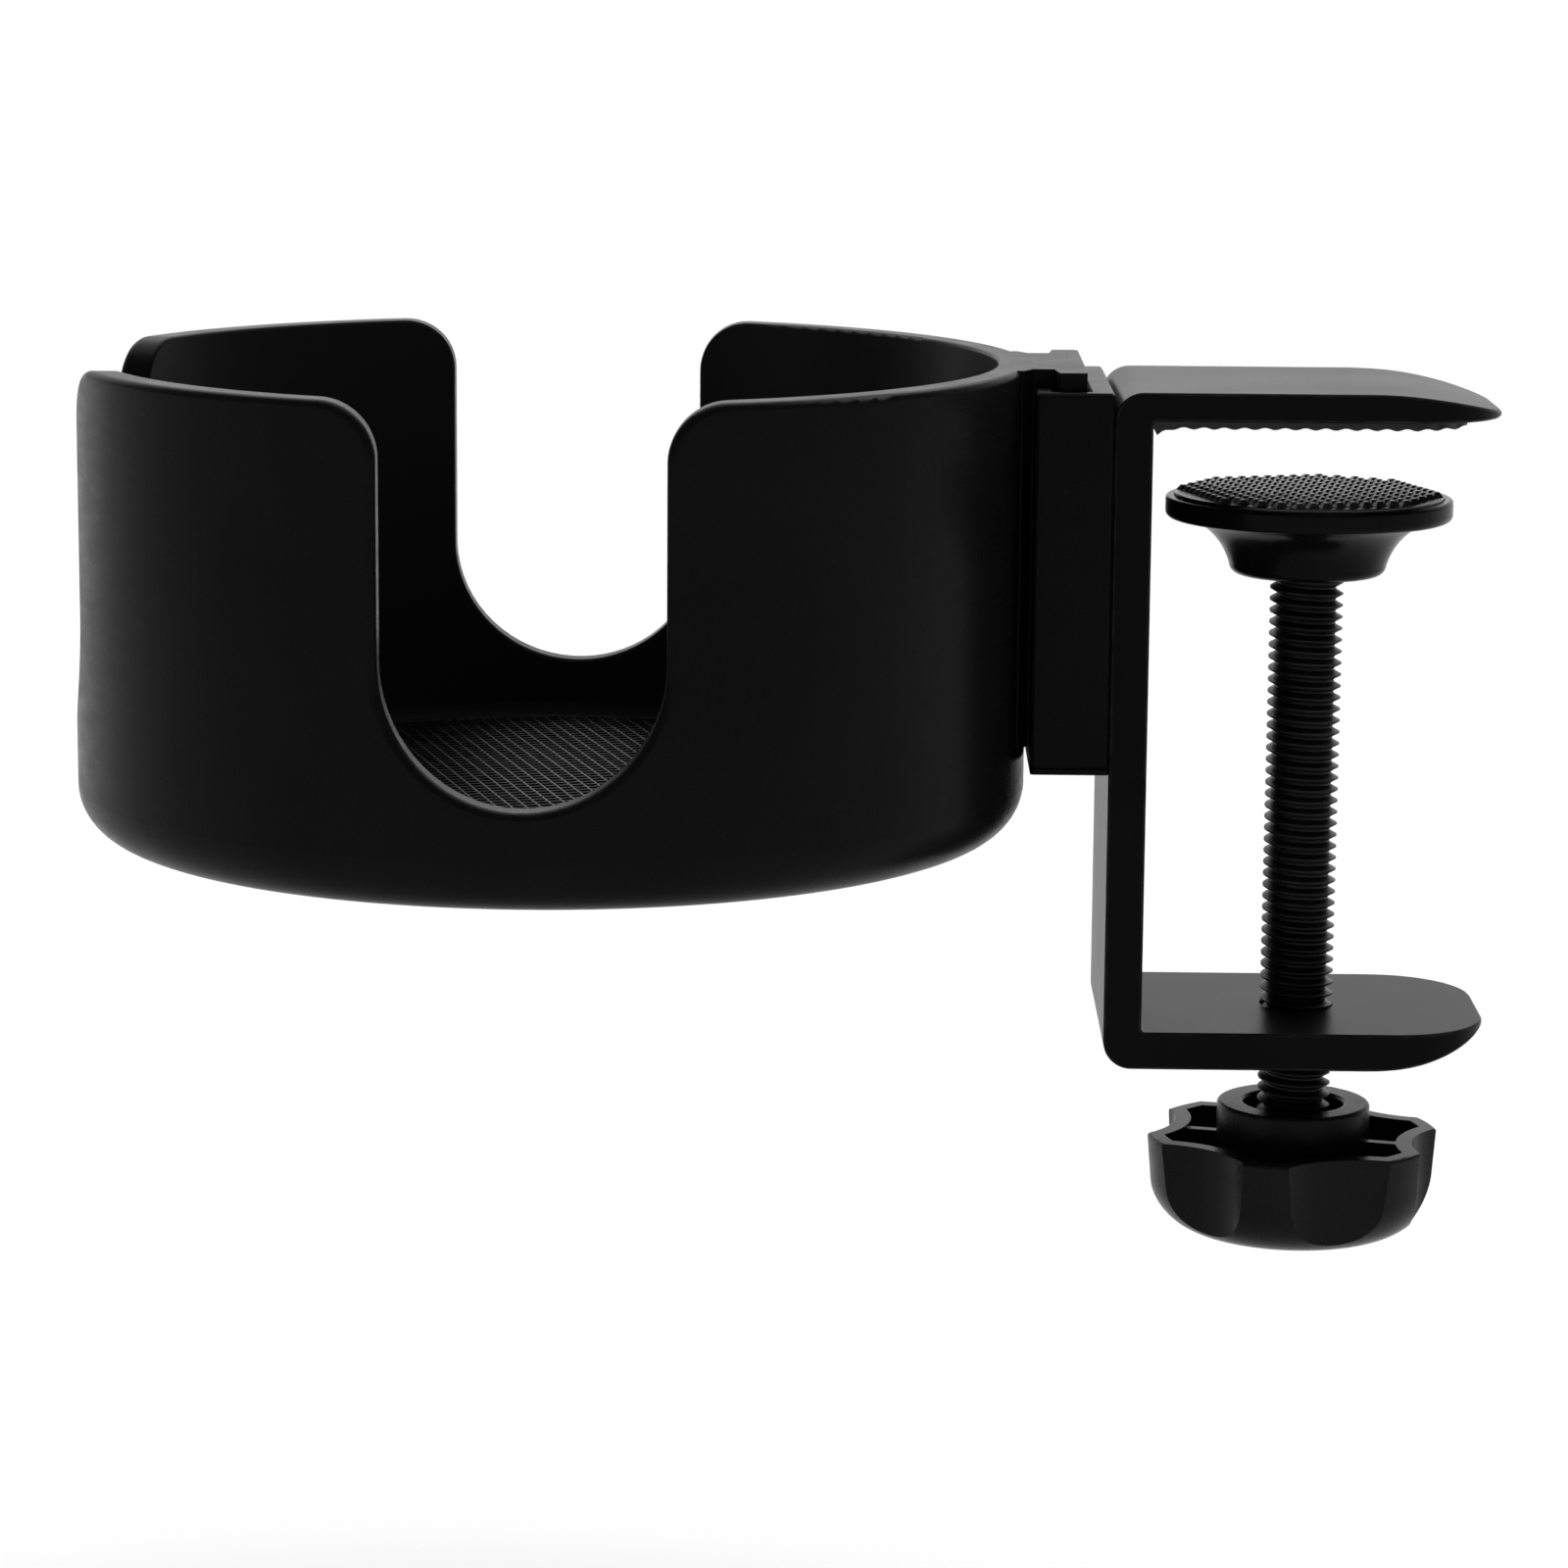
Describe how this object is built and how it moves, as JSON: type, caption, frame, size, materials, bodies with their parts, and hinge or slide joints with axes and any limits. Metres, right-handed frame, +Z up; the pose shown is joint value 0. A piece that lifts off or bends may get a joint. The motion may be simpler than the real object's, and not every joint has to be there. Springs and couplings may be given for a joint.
{
  "type": "desk clamp cup holder",
  "caption": "Round open cup with U notches that slides by a T flange onto a desk clamp with a hand-turned screw and a swivel foot.",
  "frame": {"origin": "on the clamp screw's axis, in the plane of the jaw pad's underside, which is the top of the desk", "axes": "+Z up along the screw, +X from the cup towards the desk, the cup's axis at X -80.8 mm"},
  "size_m": [0.1511, 0.1016, 0.0946],
  "materials": {
    "cup_plastic": "fine satin grain",
    "channel_plastic": "satin",
    "bracket_coat": "satin black anodised",
    "rubber": "matte, ribbed",
    "mat_rubber": "matte, fine crosshatch",
    "screw_steel": "black oxide",
    "foot_plastic": "semi-gloss",
    "washer_steel": "zinc plated",
    "knob_plastic": "satin, fine grain"
  },
  "bodies": {
    "clamp": {"clamp_bracket": "bracket_coat", "jaw_pad": "rubber", "slide_channel": "channel_plastic", "channel_screws": "screw_steel"},
    "cup": {"cup_holder": "cup_plastic", "floor_mat": "mat_rubber"},
    "carrier": {"retaining_washer": "washer_steel"},
    "screw": {"clamp_screw": "screw_steel", "hand_knob": "knob_plastic", "knob_insert": "washer_steel"},
    "foot_swivel": {"thrust_washer": "washer_steel"},
    "foot": {"foot_body": "foot_plastic", "foot_rubber": "rubber"}
  },
  "joints": [
    {"name": "cup_lift", "type": "slide", "parent": "clamp", "child": "cup", "axis": [0, 0, 1], "range_m": [0, 0.042]},
    {"name": "screw_travel", "type": "slide", "parent": "clamp", "child": "carrier", "axis": [0, 0, 1], "range_m": [-0.0466, 0.0066]},
    {"name": "screw_turn", "type": "hinge", "parent": "carrier", "child": "screw", "pos_m": [0, 0, -0.0152], "axis": [0, 0, 1], "range_deg": [-13450.8, 1930.8]},
    {"name": "foot_spin", "type": "hinge", "parent": "carrier", "child": "foot_swivel", "pos_m": [0, 0, -0.0131], "axis": [0, 0, 1], "continuous": true},
    {"name": "foot_rock", "type": "hinge", "parent": "foot_swivel", "child": "foot", "pos_m": [0, 0, -0.0131], "axis": [1, 0, 0], "range_deg": [-2.4, 2.4]}
  ],
  "couplings": [
    {"joint": "screw_turn", "follows": "screw_travel", "rad_per_m": 5026.5}
  ]
}
